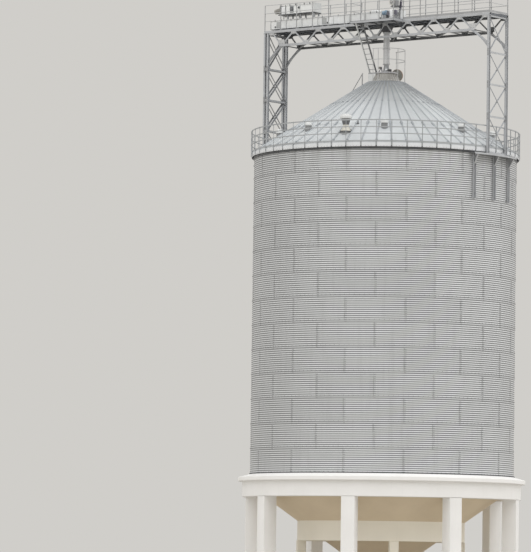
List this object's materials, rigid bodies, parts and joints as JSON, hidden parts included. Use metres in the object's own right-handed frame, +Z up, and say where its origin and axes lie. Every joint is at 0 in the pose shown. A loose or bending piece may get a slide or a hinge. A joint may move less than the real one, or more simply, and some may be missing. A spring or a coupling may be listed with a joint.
{
  "type": "grain silo",
  "caption": "Corrugated steel grain silo on a concrete hopper base, with a conical roof, eave guard rail and a conveyor gallery on braced towers over its peak.",
  "frame": {"origin": "on the ground at the silo's axis", "axes": "+Z up, +X along the conveyor gallery towards its free end, +Y to its far side"},
  "size_m": [13.06, 13.06, 27.95],
  "materials": {
    "concrete": "painted concrete, matt",
    "wall_sheet": "galvanised corrugated sheet",
    "roof_sheet": "galvanised roof panel",
    "structural_steel": "hot-dip galvanised sections, dull",
    "conveyor_paint": "off-white paint, satin",
    "drive_paint": "blue paint, satin",
    "lid_steel": "galvanised, rusty rim"
  },
  "bodies": {
    "root": {"ring_beam": "concrete", "hopper": "concrete", "inner_frame": "concrete", "outer_column_1": "concrete", "outer_column_2": "concrete", "outer_column_3": "concrete", "outer_column_4": "concrete", "outer_column_5": "concrete", "outer_column_6": "concrete", "outer_column_7": "concrete", "outer_column_8": "concrete", "wall_segment_1": "wall_sheet", "wall_segment_2": "wall_sheet", "wall_segment_3": "wall_sheet", "wall_segment_4": "wall_sheet", "wall_segment_5": "wall_sheet", "wall_segment_6": "wall_sheet", "wall_segment_7": "wall_sheet", "roof_quadrant_1": "roof_sheet", "roof_quadrant_2": "roof_sheet", "roof_quadrant_3": "roof_sheet", "roof_quadrant_4": "roof_sheet", "roof_vent_1": "roof_sheet", "roof_vent_2": "roof_sheet", "roof_vent_3": "roof_sheet", "roof_vent_4": "roof_sheet", "roof_vent_5": "roof_sheet", "roof_vent_6": "roof_sheet", "roof_vent_7": "roof_sheet", "roof_vent_8": "roof_sheet", "tall_roof_vent": "roof_sheet", "peak_collar": "roof_sheet", "peak_hatch_lid": "lid_steel", "eave_guard_rail_1": "structural_steel", "eave_guard_rail_2": "structural_steel", "eave_guard_rail_3": "structural_steel", "eave_guard_rail_4": "structural_steel", "peak_guard_rail": "structural_steel", "peak_ladder": "structural_steel", "roof_stair": "structural_steel", "stair_handrail_left": "structural_steel", "stair_handrail_right": "structural_steel", "right_tower": "structural_steel", "left_tower": "structural_steel", "right_tower_ledge": "structural_steel", "left_tower_ledge": "structural_steel", "gallery_truss_near": "structural_steel", "gallery_truss_far": "structural_steel", "gallery_deck": "structural_steel", "gallery_bracing": "structural_steel", "side_platform": "structural_steel", "gallery_handrail_near": "structural_steel", "gallery_handrail_far": "structural_steel", "spout": "structural_steel", "conveyor_housing": "conveyor_paint", "upper_box": "conveyor_paint", "head_motor": "conveyor_paint", "conveyor_drive": "drive_paint"}
  },
  "joints": []
}
